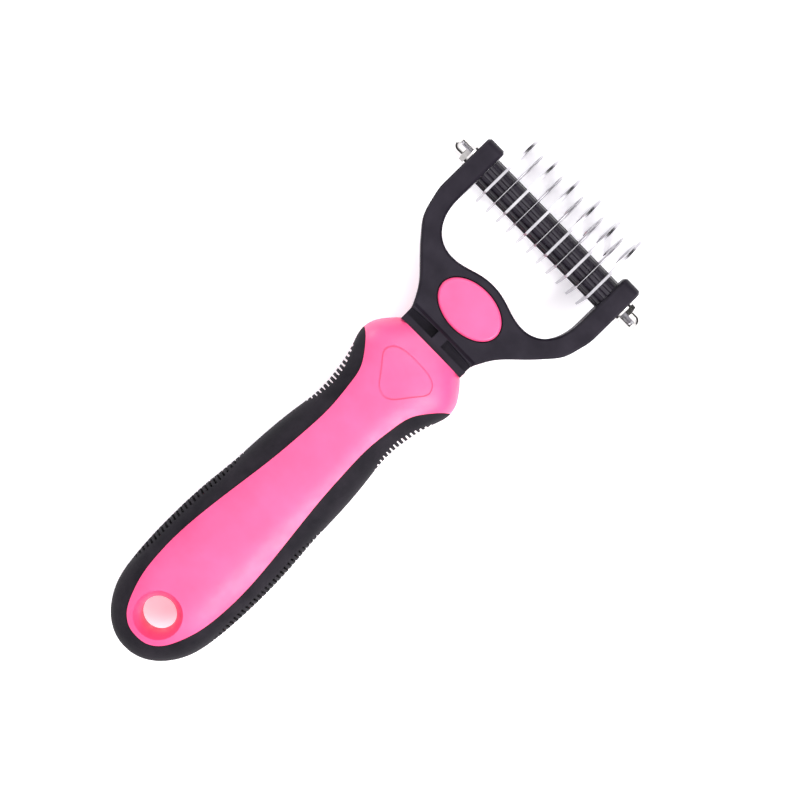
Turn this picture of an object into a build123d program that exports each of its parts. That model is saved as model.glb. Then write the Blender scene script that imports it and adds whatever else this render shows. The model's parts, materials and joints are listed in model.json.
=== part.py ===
"""Dematting comb: a two-shell handle with a rubber grip, a Y-shaped yoke and a pack of hooked blades.

Millimetres.  X runs across the comb along the blade rod, +Y runs from the butt of the handle to the
blades, +Z is up.  The origin is the centre of the comb's plan on the surface that it lies on.
"""

from build123d import *
import math
import os

# ---------------------------------------------------------------- overall layout
LENGTH = 170.0
FRONT_Y = LENGTH / 2
BUTT_Y = -LENGTH / 2
MID_Z = 11.8                # height of the comb's middle plane above the table
FAR = 60.0                  # reach of cutters that run past the part

# ---------------------------------------------------------------- blade pack
ROD_Y = 67.5
BLADE_COUNT = 11
BLADE_T = 0.7
GRIND_T = 0.27               # how much each ground face takes off the thickness
GRIND_W = 0.9
GRIND_NEAR = (ROD_Y + 11.0, MID_Z - 1.8)     # y and z of a point on the inside of the hook
SPACER_W = 3.05
SPACER_R = 4.3
FLUTE_COUNT = 12
FLUTE_R = 0.75
FLUTE_CENTRE_R = SPACER_R + 0.26
HOOK_TIP = (9.0, -MID_Z)     # y and z from the rod
HEEL_TIP = (-6.6, -8.0)
LONG_REACH = FRONT_Y - ROD_Y
SHORT_REACH = LONG_REACH - 3.0
ROD_R = 2.0
ROD_FLAT = 1.55             # height of the flat that keys blades and spacers to the rod
KEY_GAP = 0.04
THREAD_R = 1.5
THREAD_ROOT_R = 1.23
THREAD_PITCH = 0.5

# ---------------------------------------------------------------- yoke
ARM_IN = 22.3
ARM_OUT = 27.8
ARM_TOP_Y = 74.1
BRIDGE_Y = 48.0             # front of the bridge on the centre line
YOKE_HALF_T = 4.5
YOKE_BEVEL = 0.6
ARM_END_R = 3.0
NECK_HALF_W = 10.75
NECK_HALF_T = 5.6
NECK_REAR_Y = 25.3
NECK_FRONT_Y = 31.0
WINDOW_Y = (27.2, 29.8)
WINDOW_DEPTH = 3.6
RIB_HALF_W = 1.55
WINDOW_BOW = 0.7            # fall of the window's front edge at the neck's side
WINDOW_MID_BOW = 0.25
WINDOW_OVERRUN = 2.0
OVAL_Y = 39.3
OVAL_RX = 9.75
OVAL_RY = 6.33
OVAL_DEPTH = 1.3
OVAL_GAP = 0.3
OVAL_CROWN = 0.4
OVAL_EDGE_R = 0.8
JOURNAL_GAP = 0.06
TANG_HALF_W = 4.4
TANG_HALF_T = 2.5
TANG_REAR_Y = -22.0
BOSS_Y = (12.0, -14.0)
BOSS_R = 2.0
BOSS_GAP = 0.1
BOSS_H = 8.0
LEDGE_HALF_W = 4.0
LEDGE_W = 2.0

# ---------------------------------------------------------------- nuts and washers
WASHER_R = 3.5
WASHER_T = 0.5
SIDE_PLAY = 0.05
HEX_AF = 6.0
HEX_T = 1.6
HEX_CHAMFER = 0.35
DOME_R = 2.35
DOME_ROUND = 2.2
DOME_SHOULDER = (0.6, 1.72)  # back from the cap's end, radius
NUT_END_X = 33.7
NUT_BORE_GAP = 0.06
NUT_BORE_END_X = 32.3
ROD_END_X = 32.1

# ---------------------------------------------------------------- handle
# (y, half width, half thickness) of the grip's smooth envelope, from the neck to the butt
HANDLE_STATIONS = [
    (NECK_REAR_Y, 11.0, 7.6),
    (24.0, 12.3, 8.0),
    (22.2, 13.8, 8.5),
    (20.0, 15.2, 8.95),
    (17.6, 15.9, 9.3),
    (15.2, 15.8, 9.5),
    (11.8, 14.7, 9.6),
    (7.0, 13.4, 9.5),
    (2.0, 12.6, 9.3),
    (-4.0, 12.4, 9.2),
    (-10.0, 13.1, 9.6),
    (-22.0, 14.2, 10.3),
    (-31.0, 14.6, 10.9),
    (-40.0, 15.4, 11.3),
    (-50.0, 15.8, 11.49),
    (-60.0, 15.6, 11.3),
    (-68.0, 14.9, 10.5),
    (-74.0, 13.6, 9.2),
    (-79.0, 11.0, 7.4),
    (-82.5, 7.7, 5.2),
    (-84.4, 4.4, 3.0),
    (BUTT_Y, 2.4, 1.7),
]
SECTION_POWER = 2.4         # 2 is an ellipse, larger is squarer
SECTION_POINTS = 24
PANEL_PROUD = 0.3           # how far the hard panels stand above the rubber
# (y, half width, half thickness) of the hollow inside the shells
CAVITY_STATIONS = [
    (21.0, 8.0, 6.0),
    (12.0, 7.6, 7.2),
    (4.0, 5.6, 7.1),
    (-4.0, 4.9, 7.0),
    (-14.0, 5.1, 7.5),
    (-26.0, 6.1, 8.3),
    (-38.0, 7.4, 9.0),
    (-50.0, 8.5, 9.3),
    (-60.0, 8.8, 8.9),
]
# right-hand edge of the hard panel, from the flare behind the neck to the butt
PANEL_EDGE = [
    (18.5, 17.6),
    (15.2, 16.7),
    (12.7, 14.4),
    (10.6, 11.8),
    (9.1, 9.3),
    (7.9, 4.0),
    (7.1, -4.0),
    (7.3, -12.0),
    (8.0, -22.0),
    (9.3, -33.0),
    (10.5, -43.0),
    (11.25, -54.0),
    (11.0, -61.5),
    (10.1, -67.7),
    (8.6, -72.4),
    (5.9, -77.3),
    (3.1, -79.3),
    (0.0, -79.8),
]
HANG_Y = -72.5
HANG_R = 4.54
HANG_STRAIGHT = 1.25        # half length of the straight bore
HANG_DISH = [(5.1, 5.6), (7.6, 11.6)]       # radius and height above the middle plane
# right half of the thumb pad's outline, from its top to its tip
PAD_POINTS = [
    (0, 20.2),
    (4.9, 19.8),
    (6.9, 18.8),
    (7.9, 16.7),
    (6.4, 14.1),
    (3.9, 10.9),
    (2.1, 8.9),
    (0, 8.2),
]
PAD_LINE = 0.45
PAD_LINE_DEPTH = 0.35
RIB_SLOT = 0.6
RIB_HALF_H = 6.2
SLOT_REACH = 5.0
RIB_TAPER = 0.75            # below 1 the slots near the ends of a group stay deeper
# (rear y, front y, pitch, depth of the middle slots)
RIB_GROUPS = [(-6.8, 11.4, 1.3, 1.5), (-67.4, -28.2, 1.4, 2.3)]


def label_and_save(part, name):
    """Name one finished piece and write its STEP file."""
    part.label = name
    export_step(part, f"parts/{name}.step")


# ================================================================ handle
def section_points(half_w, half_t):
    """Points of a superellipse with the given half width and half thickness."""
    points = []
    for step in range(SECTION_POINTS):
        angle = 2 * math.pi * step / SECTION_POINTS
        c = math.cos(angle)
        s = math.sin(angle)
        u = math.copysign(abs(c) ** (2 / SECTION_POWER), c)
        v = math.copysign(abs(s) ** (2 / SECTION_POWER), s)
        points.append((half_w * u, half_t * v))
    return points


def handle_body(proud=0.0, stations=HANDLE_STATIONS):
    """A form lofted through the stations, made thicker by the given amount each way."""
    with BuildPart() as body:
        for y, half_w, half_t in stations:
            plane = Plane(origin=(0, y, MID_Z), x_dir=(1, 0, 0), z_dir=(0, -1, 0))
            with BuildSketch(plane):
                with BuildLine():
                    Spline(*section_points(half_w, half_t + proud), periodic=True)
                make_face()
        loft()
    return body.part


def panel_prism():
    """A tall prism on the outline of the hard panels."""
    flare_x, flare_y = PANEL_EDGE[0]
    left_edge = [(-x, y) for x, y in reversed(PANEL_EDGE[:-1])]
    with BuildPart() as prism:
        with BuildSketch(Plane.XY.offset(-FAR)):
            with BuildLine():
                Spline(*PANEL_EDGE, *left_edge)
                Polyline((flare_x, flare_y), (flare_x, FAR), (-flare_x, FAR), (-flare_x, flare_y))
            make_face()
        extrude(amount=2 * FAR)
    return prism.part


def hang_cutter():
    """The hanging hole with the dish at each mouth, as one turned cutter."""
    waist, mouth = HANG_DISH
    with BuildPart() as cutter:
        with BuildSketch(Plane(origin=(0, HANG_Y, MID_Z), x_dir=(1, 0, 0), z_dir=(0, -1, 0))):
            with BuildLine():
                Polyline((HANG_R, HANG_STRAIGHT), (HANG_R, 0), (0, 0), (0, FAR), (mouth[0], FAR), mouth)
                ThreePointArc(mouth, waist, (HANG_R, HANG_STRAIGHT))
            make_face()
        revolve(axis=Axis((0, HANG_Y, 0), (0, 0, 1)))
        mirror(about=Plane.XY.offset(MID_Z))
    return cutter.part


def pad_outline(grow):
    """Rounded-triangle outline of the thumb pad in plan, grown outwards from its middle."""
    left = [(-x, y) for x, y in reversed(PAD_POINTS[1:-1])]
    middle = Vector(0, (PAD_POINTS[0][1] + PAD_POINTS[-1][1]) / 2)
    points = []
    for x, y in PAD_POINTS + left:
        arm = Vector(x, y) - middle
        points.append(middle + arm * (1 + grow / arm.length))
    with BuildSketch() as outline:
        with BuildLine():
            Spline(*points, periodic=True)
        make_face()
    return outline.sketch


def make_shells(envelope, core, cavity, hang, line_floor):
    """The two hard shells: they meet on the middle plane and close over the yoke's tang."""
    with BuildPart() as shell:
        add(envelope)
        add(core, mode=Mode.INTERSECT)
        with BuildSketch(Plane.XY.offset(MID_Z)):
            Rectangle(2 * FAR, 4 * FAR)
        extrude(amount=FAR, mode=Mode.INTERSECT)
        add(cavity, mode=Mode.SUBTRACT)
        add(hang, mode=Mode.SUBTRACT)
        # slot for the tang through the front wall, and two bosses that pass through it
        with BuildSketch(Plane.XY.offset(MID_Z)):
            with Locations((0, (NECK_REAR_Y + CAVITY_STATIONS[0][0]) / 2)):
                Rectangle(2 * TANG_HALF_W, 2 * (NECK_REAR_Y - CAVITY_STATIONS[0][0]))
        extrude(amount=TANG_HALF_T, mode=Mode.SUBTRACT)
        with BuildSketch(Plane.XY.offset(MID_Z)):
            with Locations(*[(0, y) for y in BOSS_Y]):
                Circle(BOSS_R)
        extrude(amount=BOSS_H)
        # ledges that bear on the tang
        with BuildSketch(Plane.XY.offset(MID_Z + TANG_HALF_T)):
            with Locations(*[(0, y) for y in BOSS_Y]):
                Rectangle(2 * LEDGE_HALF_W, LEDGE_W)
        extrude(amount=BOSS_H - TANG_HALF_T)
    with BuildPart() as line:
        with BuildSketch(Plane.XY.offset(MID_Z)):
            add(pad_outline(PAD_LINE / 2))
            add(pad_outline(-PAD_LINE / 2), mode=Mode.SUBTRACT)
        extrude(amount=FAR)
        add(line_floor, mode=Mode.SUBTRACT)
    with BuildPart() as front:
        add(shell.part)
        add(line.part, mode=Mode.SUBTRACT)
    with BuildPart() as back:
        add(shell.part)
        mirror(about=Plane.XY.offset(MID_Z), mode=Mode.REPLACE)
    return front.part, back.part


def half_width_at(y):
    """Half width of the grip's envelope at y, between its stations."""
    for (y0, w0, _), (y1, w1, _) in zip(HANDLE_STATIONS, HANDLE_STATIONS[1:]):
        if y1 <= y <= y0:
            return w0 + (w1 - w0) * (y - y0) / (y1 - y0)
    return HANDLE_STATIONS[0][1]


def make_grip(envelope, core, hang):
    """The rubber grip: one band round both sides and the butt, cut into ribs in two groups, deepest at
    the middle of each."""
    with BuildPart() as slots:
        for rear_y, front_y, pitch, depth in RIB_GROUPS:
            count = round((front_y - rear_y) / pitch) + 1
            for step in range(count):
                y = rear_y + pitch * step
                share = math.sin(math.pi * (step + 0.5) / count) ** RIB_TAPER
                slot_x = half_width_at(y) - depth * share + SLOT_REACH / 2
                with Locations((slot_x, y, MID_Z), (-slot_x, y, MID_Z)):
                    Box(SLOT_REACH, RIB_SLOT, 2 * RIB_HALF_H)
    with BuildPart() as grip:
        add(envelope)
        add(core, mode=Mode.SUBTRACT)
        add(hang, mode=Mode.SUBTRACT)
        add(slots.part, mode=Mode.SUBTRACT)
    return grip.part


# ================================================================ yoke
def yoke_edge_inner():
    """Right half of the inside of the U, from the arm's top to the middle."""
    Line((ARM_IN, ARM_TOP_Y), (ARM_IN, 57.5))
    Bezier((ARM_IN, 57.5), (ARM_IN, 50.5), (18.8, 45.5), (12.8, 45.5))
    Bezier((12.8, 45.5), (8.0, 45.5), (5.5, BRIDGE_Y), (0, BRIDGE_Y))


def yoke_edge_outer():
    """Right half of the outside, from the arm's top down to the neck."""
    Line((ARM_OUT, ARM_TOP_Y), (ARM_OUT, 57.0))
    Spline(
        (ARM_OUT, 57.0),
        (27.0, 52.3),
        (25.7, 48.2),
        (23.0, 44.6),
        (20.3, 41.6),
        (17.0, 38.3),
        (13.2, 33.9),
        (11.4, 30.6),
        (NECK_HALF_W, 27.2),
        tangents=[(0, -1), (0, -1)],
    )
    Line((NECK_HALF_W, 27.2), (NECK_HALF_W, NECK_REAR_Y))


def make_yoke():
    """The yoke: two arms, the bridge with its oval recesses, the neck and the tang."""
    with BuildPart() as yoke:
        with BuildSketch(Plane.XY.offset(MID_Z - YOKE_HALF_T)):
            with BuildLine():
                yoke_edge_inner()
                yoke_edge_outer()
                Line((ARM_IN, ARM_TOP_Y), (ARM_OUT, ARM_TOP_Y))
                Line((0, BRIDGE_Y), (0, NECK_REAR_Y))
                Line((0, NECK_REAR_Y), (NECK_HALF_W, NECK_REAR_Y))
            make_face()
            mirror(about=Plane.YZ)
        extrude(amount=2 * YOKE_HALF_T)
        # round the ends of the arms about the rod, then bevel both faces all round
        arm_ends = yoke.edges().filter_by(Axis.X).group_by(Axis.Y)[-1]
        fillet(arm_ends, radius=ARM_END_R)
        chamfer(yoke.faces().filter_by(Axis.Z).edges(), length=YOKE_BEVEL)
        # neck, thicker than the arms and sloping down to them
        step = NECK_HALF_T - YOKE_HALF_T
        with BuildSketch(Plane(origin=(0, 0, MID_Z), x_dir=(0, 1, 0), z_dir=(1, 0, 0))):
            with BuildLine():
                Polyline(
                    (NECK_REAR_Y, 0),
                    (NECK_REAR_Y, NECK_HALF_T),
                    (NECK_FRONT_Y - step, NECK_HALF_T),
                    (NECK_FRONT_Y, YOKE_HALF_T - YOKE_BEVEL / 2),
                    (NECK_FRONT_Y, 0),
                    close=True,
                )
            make_face()
            mirror(about=Plane(origin=(0, 0, MID_Z), z_dir=(0, 0, 1)))
        extrude(amount=NECK_HALF_W, both=True)
        # two windows each side, with a rib between them, sunk from both faces
        for side in (1, -1):
            with BuildSketch(Plane.XY.offset(MID_Z + side * (NECK_HALF_T - WINDOW_DEPTH))):
                for hand in (1, -1):
                    inner_x = hand * RIB_HALF_W
                    outer_x = hand * (NECK_HALF_W + WINDOW_OVERRUN)
                    with BuildLine():
                        Polyline(
                            (inner_x, WINDOW_Y[1]),
                            (inner_x, WINDOW_Y[0]),
                            (outer_x, WINDOW_Y[0]),
                            (outer_x, WINDOW_Y[1] - WINDOW_BOW),
                        )
                        ThreePointArc(
                            (outer_x, WINDOW_Y[1] - WINDOW_BOW),
                            ((inner_x + outer_x) / 2, WINDOW_Y[1] - WINDOW_MID_BOW),
                            (inner_x, WINDOW_Y[1]),
                        )
                    make_face()
            extrude(amount=side * FAR, mode=Mode.SUBTRACT)
            # recess for the oval inlay
            with BuildSketch(Plane.XY.offset(MID_Z + side * (YOKE_HALF_T - OVAL_DEPTH))):
                with Locations((0, OVAL_Y)):
                    Ellipse(OVAL_RX + OVAL_GAP, OVAL_RY + OVAL_GAP)
            extrude(amount=side * FAR, mode=Mode.SUBTRACT)
        # tang, with holes for the shells' bosses
        with BuildSketch(Plane.XY.offset(MID_Z)):
            with Locations((0, (TANG_REAR_Y + NECK_REAR_Y) / 2)):
                Rectangle(2 * TANG_HALF_W, NECK_REAR_Y - TANG_REAR_Y)
        extrude(amount=TANG_HALF_T, both=True)
        with Locations(*[Location((0, y, MID_Z)) for y in BOSS_Y]):
            Hole(BOSS_R + BOSS_GAP, depth=2 * TANG_HALF_T)
        # rod holes through both arms
        with Locations(Plane(origin=(0, ROD_Y, MID_Z), z_dir=(1, 0, 0))):
            Hole(ROD_R + JOURNAL_GAP, depth=2 * FAR)
    return yoke.part


def make_inlay(side):
    """One crowned oval inlay, pressed into the recess in the face given by side."""
    with BuildPart() as inlay:
        with BuildSketch(Plane.XY.offset(MID_Z + side * (YOKE_HALF_T - OVAL_DEPTH))):
            with Locations((0, OVAL_Y)):
                Ellipse(OVAL_RX, OVAL_RY)
        extrude(amount=side * (OVAL_DEPTH + OVAL_CROWN))
        outer_face = inlay.faces().sort_by(Axis.Z)[-1 if side > 0 else 0]
        fillet(outer_face.edges(), radius=OVAL_EDGE_R)
    return inlay.part


# ================================================================ blade pack
def key_bar(radius, half_length):
    """A round bar along the rod's line with the key flat towards +Z."""
    flat = ROD_FLAT + radius - ROD_R
    with BuildPart() as bar:
        with BuildSketch(Plane(origin=(0, ROD_Y, MID_Z), x_dir=(0, 1, 0), z_dir=(1, 0, 0))):
            Circle(radius)
            with Locations((0, flat + FAR / 2)):
                Rectangle(FAR, FAR, mode=Mode.SUBTRACT)
        extrude(amount=half_length, both=True)
    return bar.part


def blade_profile(reach):
    """Side view of one hooked blade: y forward of the rod, z above it; reach is its furthest forward."""
    front = reach - LONG_REACH
    Line((-4.3, 4.45), (3.2, 4.45))
    Spline(
        (3.2, 4.45),
        (8.4 + front * 0.5, 3.7),
        (13.2 + front * 0.8, 1.0),
        (reach - 0.9, -3.2),
        (reach, -7.2),
        (reach - 1.3, -10.2),
        (reach - 4.4, -11.55),
        (HOOK_TIP[0] + front * 0.4, HOOK_TIP[1]),
        tangents=[(1, 0), (-1, -0.15)],
    )
    Spline(
        (HOOK_TIP[0] + front * 0.4, HOOK_TIP[1]),
        (11.8 + front * 0.7, -9.6),
        (13.3 + front, -6.2),
        (11.6 + front, -2.0),
        (7.4 + front * 0.5, -0.6),
        (4.1, -2.1),
        (2.2, -3.9),
    )
    Spline((2.2, -3.9), (0, -4.35), (-2.6, -3.6), (-4.2, -4.6), (HEEL_TIP[0], HEEL_TIP[1]))
    Spline((HEEL_TIP[0], HEEL_TIP[1]), (-6.0, -3.0), (-5.2, 1.5), (-4.9, 3.1))
    Line((-4.9, 3.1), (-4.3, 4.45))


def make_blade(x, reach):
    """One blade, ground to an edge along the inside of its hook, at the given place along the rod."""
    with BuildPart() as blade:
        with BuildSketch(Plane(origin=(x - BLADE_T / 2, ROD_Y, MID_Z), x_dir=(0, 1, 0), z_dir=(1, 0, 0))):
            with BuildLine():
                blade_profile(reach)
            make_face()
        extrude(amount=BLADE_T)
        for side in blade.faces().filter_by(Axis.X):
            hook_inside = side.edges().sort_by_distance((side.center().X, *GRIND_NEAR))[0]
            chamfer(hook_inside, length=GRIND_W, length2=GRIND_T, reference=side)
        add(key_bar(ROD_R + KEY_GAP, FAR), mode=Mode.SUBTRACT)
    return blade.part


def make_spacer(x):
    """One fluted spacer with a keyed bore, centred at the given place along the rod."""
    with BuildPart() as spacer:
        with BuildSketch(Plane(origin=(x - SPACER_W / 2, ROD_Y, MID_Z), x_dir=(0, 1, 0), z_dir=(1, 0, 0))):
            Circle(SPACER_R)
            with PolarLocations(FLUTE_CENTRE_R, FLUTE_COUNT, start_angle=180 / FLUTE_COUNT + 90):
                Circle(FLUTE_R, mode=Mode.SUBTRACT)
        extrude(amount=SPACER_W)
        add(key_bar(ROD_R + KEY_GAP, FAR), mode=Mode.SUBTRACT)
    return spacer.part


def make_rod():
    """The rod: keyed between the arms, round in the arms' holes, threaded at both ends."""
    pack_half = (BLADE_COUNT * BLADE_T + (BLADE_COUNT + 1) * SPACER_W) / 2
    with BuildPart() as rod:
        add(key_bar(ROD_R, pack_half))
        for hand in (1, -1):
            with BuildSketch(Plane(origin=(hand * pack_half, ROD_Y, MID_Z), z_dir=(hand, 0, 0))):
                Circle(ROD_R)
            extrude(amount=ARM_OUT - pack_half)
            # thread turned as close rings at its pitch
            count = int((ROD_END_X - ARM_OUT) / THREAD_PITCH)
            with BuildSketch(Plane(origin=(0, ROD_Y, MID_Z), x_dir=(hand, 0, 0), z_dir=(0, -hand, 0))):
                with BuildLine():
                    crests = [(ARM_OUT, 0), (ARM_OUT, THREAD_ROOT_R)]
                    for turn in range(count):
                        start = ARM_OUT + turn * THREAD_PITCH
                        crests.append((start + THREAD_PITCH / 2, THREAD_R))
                        crests.append((start + THREAD_PITCH, THREAD_ROOT_R))
                    crests.append((ROD_END_X, THREAD_ROOT_R))
                    crests.append((ROD_END_X, 0))
                    Polyline(*crests, close=True)
                make_face()
            revolve(axis=Axis((0, ROD_Y, MID_Z), (1, 0, 0)))
    return rod.part


def make_washer(hand):
    """The plain washer under one nut; hand is 1 on the right and -1 on the left."""
    with BuildPart() as washer:
        with BuildSketch(Plane(origin=(hand * (ARM_OUT + SIDE_PLAY), ROD_Y, MID_Z), z_dir=(hand, 0, 0))):
            Circle(WASHER_R)
            Circle(THREAD_R + NUT_BORE_GAP, mode=Mode.SUBTRACT)
        extrude(amount=WASHER_T)
    return washer.part


def make_nut(hand):
    """One cap nut: a chamfered hexagon under a rounded cap, bored blind for the rod's end."""
    seat_x = ARM_OUT + SIDE_PLAY + WASHER_T
    seat = Plane(origin=(hand * seat_x, ROD_Y, MID_Z), z_dir=(hand, 0, 0))
    corner_r = HEX_AF / math.sqrt(3)
    height = NUT_END_X - seat_x
    with BuildPart() as nut:
        with BuildSketch(seat):
            RegularPolygon(HEX_AF / 2, 6, major_radius=False)
        extrude(amount=HEX_T)
        with BuildSketch(seat):
            Circle(DOME_R)
        extrude(amount=height)
        # turned form: corners chamfered towards the cap, cap rounded at its end
        with BuildSketch(Plane(origin=seat.origin, x_dir=(hand, 0, 0), z_dir=(0, -hand, 0))) as turned:
            with BuildLine():
                Polyline(
                    (height, 0),
                    (0, 0),
                    (0, corner_r),
                    (HEX_T - HEX_CHAMFER, corner_r),
                    (HEX_T, corner_r - 2 * HEX_CHAMFER),
                    (HEX_T, DOME_R),
                    (height - DOME_ROUND, DOME_R),
                )
                ThreePointArc(
                    (height - DOME_ROUND, DOME_R),
                    (height - DOME_SHOULDER[0], DOME_SHOULDER[1]),
                    (height, 0),
                )
            make_face()
        revolve(turned.sketch, axis=Axis(seat.origin, (1, 0, 0)), mode=Mode.INTERSECT)
        with BuildSketch(seat):
            Circle(THREAD_R + NUT_BORE_GAP)
        extrude(amount=NUT_BORE_END_X - seat_x, mode=Mode.SUBTRACT)
    return nut.part


def build_handle():
    """Make the shells and the grip, which share one envelope and one panel outline."""
    soft_form = handle_body()
    hard_form = handle_body(PANEL_PROUD)
    core = panel_prism()
    hang = hang_cutter()
    line_floor = handle_body(PANEL_PROUD - PAD_LINE_DEPTH)
    cavity = handle_body(stations=CAVITY_STATIONS)
    front, back = make_shells(hard_form, core, cavity, hang, line_floor)
    label_and_save(front, "front_shell")
    label_and_save(back, "back_shell")
    label_and_save(make_grip(soft_form, core, hang), "rubber_grip")


def build_yoke():
    """Make the yoke and the two inlays."""
    label_and_save(make_yoke(), "yoke_frame")
    label_and_save(make_inlay(1), "front_inlay")
    label_and_save(make_inlay(-1), "back_inlay")


def build_pack():
    """Make the rod, the blades (long ones at both ends, every other one short) and the spacers."""
    label_and_save(make_rod(), "blade_rod")
    pitch = BLADE_T + SPACER_W
    for index in range(BLADE_COUNT):
        x = (index - (BLADE_COUNT - 1) / 2) * pitch
        reach = LONG_REACH if index % 2 == 0 else SHORT_REACH
        label_and_save(make_blade(x, reach), f"blade_{index + 1:02d}")
    for index in range(BLADE_COUNT + 1):
        x = (index - BLADE_COUNT / 2) * pitch
        label_and_save(make_spacer(x), f"spacer_{index + 1:02d}")


def build_nuts():
    """Make the washer and the cap nut at each end of the rod."""
    for hand, side in ((1, "right"), (-1, "left")):
        label_and_save(make_washer(hand), f"{side}_washer")
        label_and_save(make_nut(hand), f"{side}_cap_nut")


os.makedirs("parts", exist_ok=True)
build_handle()
build_yoke()
build_pack()
build_nuts()
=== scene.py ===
"""Looks of the dematting comb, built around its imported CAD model.  Metres, in the CAD model's own frame."""

import json
import math

import bpy
from mathutils import Matrix, Vector

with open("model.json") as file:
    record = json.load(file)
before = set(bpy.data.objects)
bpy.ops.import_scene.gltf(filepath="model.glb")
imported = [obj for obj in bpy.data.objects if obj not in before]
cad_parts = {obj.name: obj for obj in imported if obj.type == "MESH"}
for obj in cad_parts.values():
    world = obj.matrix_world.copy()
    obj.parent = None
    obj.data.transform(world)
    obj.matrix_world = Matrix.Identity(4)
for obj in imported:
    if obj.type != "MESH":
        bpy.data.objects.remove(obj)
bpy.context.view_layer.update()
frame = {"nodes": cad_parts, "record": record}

MM = 0.001

# Nearly all of a noise texture's values lie between these two.
NOISE_LOW = 0.3
NOISE_HIGH = 0.7

# Base colours, each as its darkest and its lightest shade.
PINK = ((0.88, 0.068, 0.208), (0.93, 0.086, 0.246))
RUBBER_BLACK = ((0.007, 0.006, 0.009), (0.019, 0.016, 0.021))
PLASTIC_BLACK = ((0.009, 0.007, 0.012), (0.017, 0.014, 0.021))
STEEL_GREY = ((0.34, 0.33, 0.36), (0.50, 0.49, 0.51))
PLATING = ((0.55, 0.53, 0.53), (0.74, 0.72, 0.71))
TABLE_WHITE = ((0.93, 0.93, 0.935), (0.95, 0.95, 0.95))

# Steel scratches are long where the stretch is small: along a blade's length, and round the rod.
BLADE_GRIND = (1.0, 0.06, 0.5)
ROD_TURNING = (1.0, 0.2, 0.2)


# ---------------------------------------------------------------- material helpers
class Shader:
    """A node material with one Principled shader, and short calls for the nodes that feed it."""

    def __init__(self, name):
        self.material = bpy.data.materials.new(name)
        self.material.use_nodes = True
        self.tree = self.material.node_tree
        self.tree.nodes.clear()
        self.output = self.tree.nodes.new("ShaderNodeOutputMaterial")
        self.bsdf = self.tree.nodes.new("ShaderNodeBsdfPrincipled")
        self.link(self.bsdf.outputs["BSDF"], self.output.inputs["Surface"])
        self.place = self.tree.nodes.new("ShaderNodeTexCoord").outputs["Object"]

    def link(self, source, target):
        self.tree.links.new(source, target)

    def fixed(self, **values):
        """Set the shader's own sockets, named with underscores for spaces."""
        for key, value in values.items():
            self.bsdf.inputs[key.replace("_", " ")].default_value = value

    def stretched(self, scale):
        """The object coordinates scaled by a factor for each axis."""
        node = self.tree.nodes.new("ShaderNodeMapping")
        self.link(self.place, node.inputs["Vector"])
        node.inputs["Scale"].default_value = scale
        return node.outputs["Vector"]

    def noise(self, size, detail=2.0, roughness=0.5, stretch=(1, 1, 1)):
        """Noise whose features are about size metres across."""
        node = self.tree.nodes.new("ShaderNodeTexNoise")
        self.link(self.stretched(stretch), node.inputs["Vector"])
        node.inputs["Scale"].default_value = 1.0 / size
        node.inputs["Detail"].default_value = detail
        node.inputs["Roughness"].default_value = roughness
        return node.outputs["Fac"]

    def cells(self, size):
        """Distance to the nearest cell centre, for a pebbled grain."""
        node = self.tree.nodes.new("ShaderNodeTexVoronoi")
        self.link(self.place, node.inputs["Vector"])
        node.inputs["Scale"].default_value = 1.0 / size
        return node.outputs["Distance"]

    def ranged(self, value, low, high):
        """Map noise to the span from low to high."""
        node = self.tree.nodes.new("ShaderNodeMapRange")
        self.link(value, node.inputs["Value"])
        node.inputs["From Min"].default_value = NOISE_LOW
        node.inputs["From Max"].default_value = NOISE_HIGH
        node.inputs["To Min"].default_value = low
        node.inputs["To Max"].default_value = high
        return node.outputs["Result"]

    def summed(self, first, second, weight):
        """first plus weight times second."""
        node = self.tree.nodes.new("ShaderNodeMath")
        node.operation = "MULTIPLY_ADD"
        self.link(second, node.inputs[0])
        node.inputs[1].default_value = weight
        self.link(first, node.inputs[2])
        return node.outputs["Value"]

    def coloured(self, pattern, shades):
        """Base colour that follows a pattern from the dark shade to the light one."""
        node = self.tree.nodes.new("ShaderNodeMix")
        node.data_type = "RGBA"
        self.link(self.ranged(pattern, 0, 1), node.inputs["Factor"])
        dark, light = shades
        node.inputs["A"].default_value = (*dark, 1)
        node.inputs["B"].default_value = (*light, 1)
        self.link(node.outputs["Result"], self.bsdf.inputs["Base Color"])

    def roughened(self, pattern, low, high):
        """Roughness that follows a pattern from low to high."""
        self.link(self.ranged(pattern, low, high), self.bsdf.inputs["Roughness"])

    def bump(self, height, depth):
        """Relief of the given depth in metres."""
        node = self.tree.nodes.new("ShaderNodeBump")
        node.inputs["Strength"].default_value = 1.0
        node.inputs["Distance"].default_value = depth
        self.link(height, node.inputs["Height"])
        self.link(node.outputs["Normal"], self.bsdf.inputs["Normal"])


# ---------------------------------------------------------------- materials
def pink_plastic():
    """Satin moulded plastic, a warm pink with a faint flow mottle and rubbed patches."""
    s = Shader("pink_plastic")
    mottle = s.noise(9 * MM, detail=3)
    rubbed = s.noise(2.5 * MM, detail=4)
    mould_texture = s.noise(0.25 * MM, detail=2)
    s.coloured(mottle, PINK)
    s.roughened(rubbed, 0.34, 0.46)
    s.bump(mould_texture, 0.012 * MM)
    s.fixed(Specular_IOR_Level=0.45, Subsurface_Weight=0.12, Subsurface_Scale=2 * MM)
    s.fixed(Subsurface_Radius=(1.0, 0.35, 0.5))
    return s.material


def black_rubber():
    """Soft-touch rubber: fine pebbled grain, matt, with dusty patches."""
    s = Shader("black_rubber")
    dust = s.noise(7 * MM, detail=4, roughness=0.6)
    pebbles = s.summed(s.cells(0.32 * MM), s.noise(0.12 * MM), 0.4)
    s.coloured(dust, RUBBER_BLACK)
    s.roughened(dust, 0.58, 0.76)
    s.bump(pebbles, 0.03 * MM)
    s.fixed(Specular_IOR_Level=0.08)
    return s.material


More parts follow.
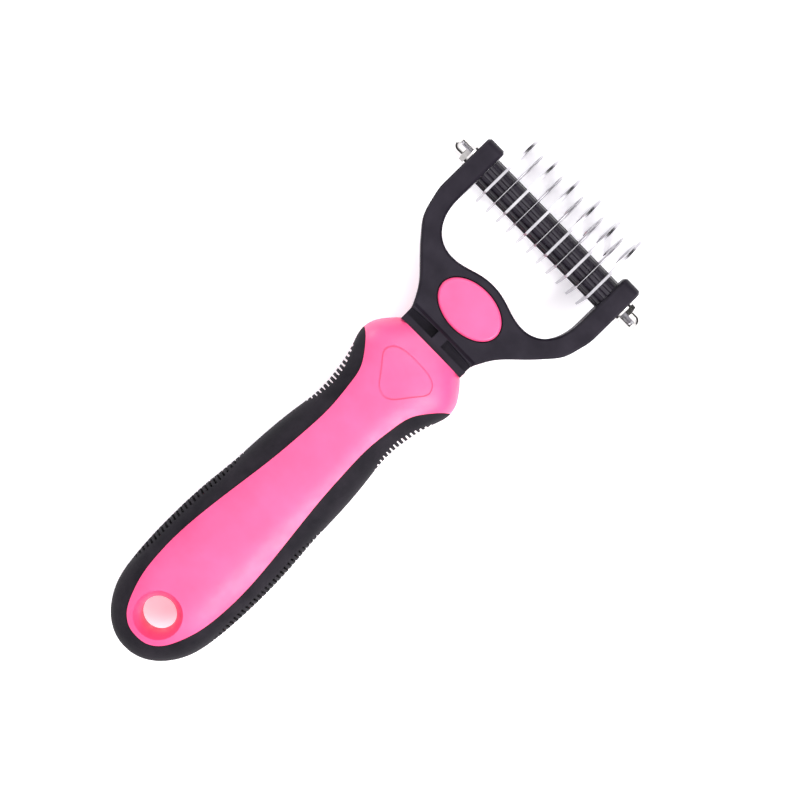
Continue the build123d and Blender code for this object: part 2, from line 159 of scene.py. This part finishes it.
def black_plastic(name, grain, gloss, shine):
    """Moulded black plastic: grain is its spark-eroded texture, gloss the range of its roughness."""
    s = Shader(name)
    patches = s.noise(6 * MM, detail=3)
    rubbed = s.noise(1.6 * MM, detail=4)
    mould_texture = s.noise(grain, detail=3)
    s.coloured(patches, PLASTIC_BLACK)
    s.roughened(rubbed, *gloss)
    s.bump(mould_texture, 0.014 * MM)
    s.fixed(Specular_IOR_Level=shine)
    return s.material


def steel(name, stretch, roughness, depth):
    """Machined steel with fine scratches of the given depth, drawn out by the stretch."""
    s = Shader(name)
    stains = s.noise(5 * MM, detail=3)
    scratches = s.noise(0.10 * MM, detail=4, stretch=stretch)
    s.coloured(stains, STEEL_GREY)
    s.roughened(scratches, roughness * 0.75, roughness * 1.35)
    s.bump(scratches, depth)
    s.fixed(Metallic=1.0)
    return s.material


def nut_chrome():
    """Bright plating over a slightly uneven turned surface."""
    s = Shader("nut_chrome")
    haze = s.noise(1.5 * MM)
    unevenness = s.noise(0.5 * MM, detail=3)
    s.coloured(haze, PLATING)
    s.roughened(unevenness, 0.07, 0.16)
    s.bump(unevenness, 0.004 * MM)
    s.fixed(Metallic=1.0)
    return s.material


def dress_nodes():
    """Give every CAD node the material of its slot."""
    materials = {
        "pink_plastic": pink_plastic(),
        "black_rubber": black_rubber(),
        "black_plastic": black_plastic("black_plastic", grain=0.2 * MM, gloss=(0.36, 0.52), shine=0.10),
        "spacer_plastic": black_plastic("spacer_plastic", grain=0.15 * MM, gloss=(0.20, 0.30), shine=0.28),
        "blade_steel": steel("blade_steel", BLADE_GRIND, roughness=0.22, depth=0.0015 * MM),
        "rod_steel": steel("rod_steel", ROD_TURNING, roughness=0.30, depth=0.006 * MM),
        "nut_chrome": nut_chrome(),
    }
    for part in frame["record"]["subparts"]:
        obj = frame["nodes"][part["node"]]
        obj.data.materials.clear()
        obj.data.materials.append(materials[part["material_slot"]])


# ---------------------------------------------------------------- stage
TABLE_HALF = 20.0                    # wide enough that its edge is the horizon
TABLE_GLOW = 0.32
GLOW_COLOUR = (0.95, 0.90, 1.0, 1)

CEILING_GLOW = 1.75
CEILING_COLOUR = (1.0, 0.99, 1.0, 1)
HORIZON_GLOW = 0.04
HORIZON_TOP = 0.35                   # height of a direction, 0 at the horizon and 1 overhead
CEILING_EDGE = 0.88

# Soft boxes: name, place, the point each faces, width and power in watts.
SOFT_BOXES = [
    ("key", (0.75, -0.1, 0.75), (0, 0, 0), 0.6, 12),
    ("fill", (-0.2, 0.7, 0.9), (0, 0, 0), 0.9, 5),
    ("rim", (-0.9, 0.15, 0.22), (0, 0.03, 0.01), 0.25, 2.2),
]

CAMERA_PLACE = (-0.012, 0.014, 0.480)
CAMERA_AIM = (0.0043, 0.0103, 0.010)
CAMERA_TURN = math.radians(45.6)     # from the comb's own axes to the picture's
CAMERA_LENS = 81.5                   # millimetres, on a sensor of the width below
SENSOR_WIDTH = 36
CLIP_START = 0.01


def make_table():
    """A wide pale table under the comb, its own faint glow filling the shadows."""
    h = TABLE_HALF
    mesh = bpy.data.meshes.new("table")
    mesh.from_pydata([(-h, -h, 0), (h, -h, 0), (h, h, 0), (-h, h, 0)], [], [(0, 1, 2, 3)])
    table = bpy.data.objects.new("table", mesh)
    bpy.context.scene.collection.objects.link(table)
    s = Shader("white_table")
    s.coloured(s.noise(40 * MM), TABLE_WHITE)
    s.fixed(Roughness=0.7, Specular_IOR_Level=0.2, Emission_Strength=TABLE_GLOW, Emission_Color=GLOW_COLOUR)
    table.data.materials.append(s.material)


def make_world():
    """A white ceiling over a dark horizon, so that polished metal shows its curves."""
    world = bpy.data.worlds.new("studio")
    bpy.context.scene.world = world
    world.use_nodes = True
    tree = world.node_tree
    split = tree.nodes.new("ShaderNodeSeparateXYZ")
    tree.links.new(tree.nodes.new("ShaderNodeTexCoord").outputs["Generated"], split.inputs["Vector"])
    brightness = tree.nodes.new("ShaderNodeMapRange")
    brightness.interpolation_type = "SMOOTHSTEP"
    tree.links.new(split.outputs["Z"], brightness.inputs["Value"])
    brightness.inputs["From Min"].default_value = HORIZON_TOP
    brightness.inputs["From Max"].default_value = CEILING_EDGE
    brightness.inputs["To Min"].default_value = HORIZON_GLOW
    brightness.inputs["To Max"].default_value = CEILING_GLOW
    sky = tree.nodes["Background"]
    tree.links.new(brightness.outputs["Result"], sky.inputs["Strength"])
    sky.inputs["Color"].default_value = CEILING_COLOUR


def make_lights():
    """A soft box on the comb's right, a wider and weaker one in front, and a small low one on its left."""
    for name, place, aim, width, power in SOFT_BOXES:
        data = bpy.data.lights.new(name, "AREA")
        data.shape = "SQUARE"
        data.size = width
        data.energy = power
        light = bpy.data.objects.new(name, data)
        bpy.context.scene.collection.objects.link(light)
        facing = (Vector(aim) - Vector(place)).to_track_quat("-Z", "Y")
        light.matrix_world = Matrix.Translation(place) @ facing.to_matrix().to_4x4()


def make_camera():
    """The camera over the comb, turned so that the handle runs to the lower left of the picture."""
    data = bpy.data.cameras.new("camera")
    data.lens = CAMERA_LENS
    data.sensor_width = SENSOR_WIDTH
    data.clip_start = CLIP_START
    camera = bpy.data.objects.new("camera", data)
    bpy.context.scene.collection.objects.link(camera)
    across = Vector((math.cos(CAMERA_TURN), math.sin(CAMERA_TURN), 0))
    back = (Vector(CAMERA_PLACE) - Vector(CAMERA_AIM)).normalized()
    up = back.cross(across).normalized()
    right = up.cross(back)
    turn = Matrix((right, up, back)).transposed().to_4x4()
    camera.matrix_world = Matrix.Translation(CAMERA_PLACE) @ turn
    bpy.context.scene.camera = camera


bpy.context.scene.view_settings.view_transform = "Standard"
dress_nodes()
make_table()
make_world()
make_lights()
make_camera()
